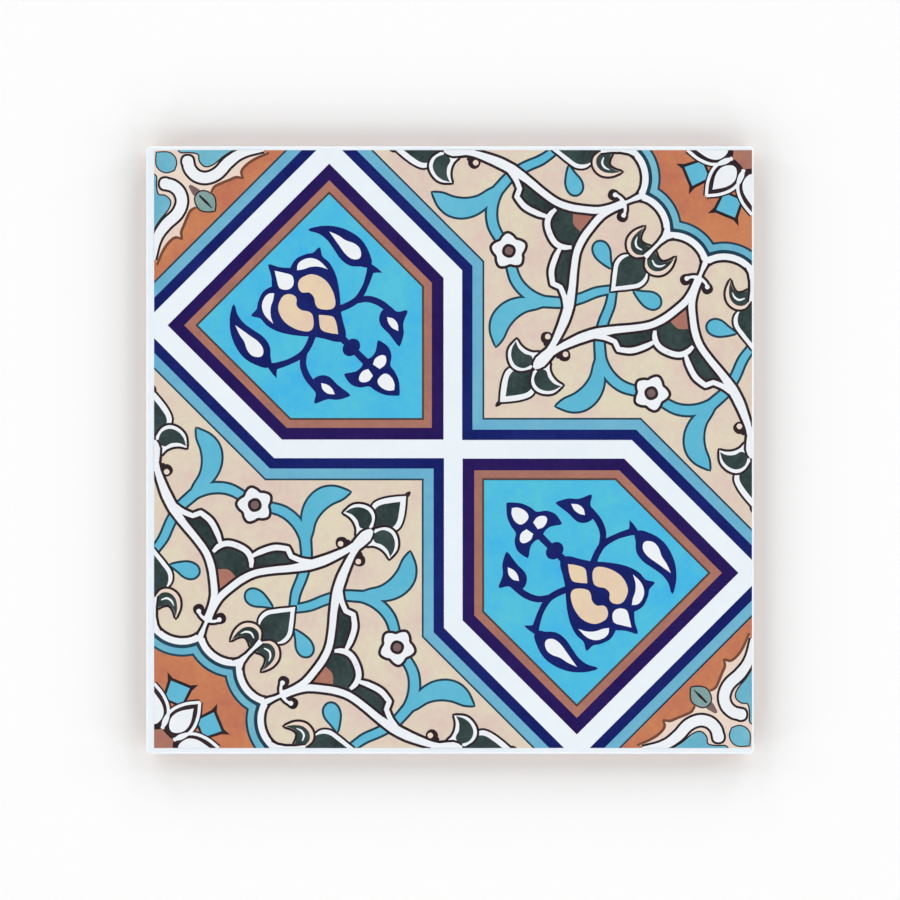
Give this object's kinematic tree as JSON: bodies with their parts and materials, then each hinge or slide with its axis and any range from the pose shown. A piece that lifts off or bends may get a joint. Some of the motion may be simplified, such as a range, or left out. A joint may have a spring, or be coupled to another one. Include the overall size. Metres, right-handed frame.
{
  "type": "ceramic tile",
  "caption": "Square glazed ceramic wall tile with rounded face edges, drawn-in flanks and a waffle-keyed back, painted with a traditional eight-fold strapwork and arabesque.",
  "frame": {"origin": "middle of the back, in the plane of the key ribs", "axes": "+Z out of the glazed face, +X and +Y along two edges of the tile"},
  "size_m": [0.2, 0.2, 0.007],
  "materials": {
    "glazed_body": "white glaze over a pale clay body",
    "sand_ground": "gloss enamel",
    "turquoise_enamel": "gloss enamel",
    "sky_enamel": "gloss enamel",
    "cobalt_enamel": "gloss enamel",
    "white_enamel": "gloss enamel",
    "copper_enamel": "gloss enamel",
    "orange_enamel": "gloss enamel",
    "leaf_enamel": "gloss enamel",
    "outline_enamel": "gloss enamel"
  },
  "bodies": {
    "root": {"tile": "glazed_body"}
  },
  "joints": []
}
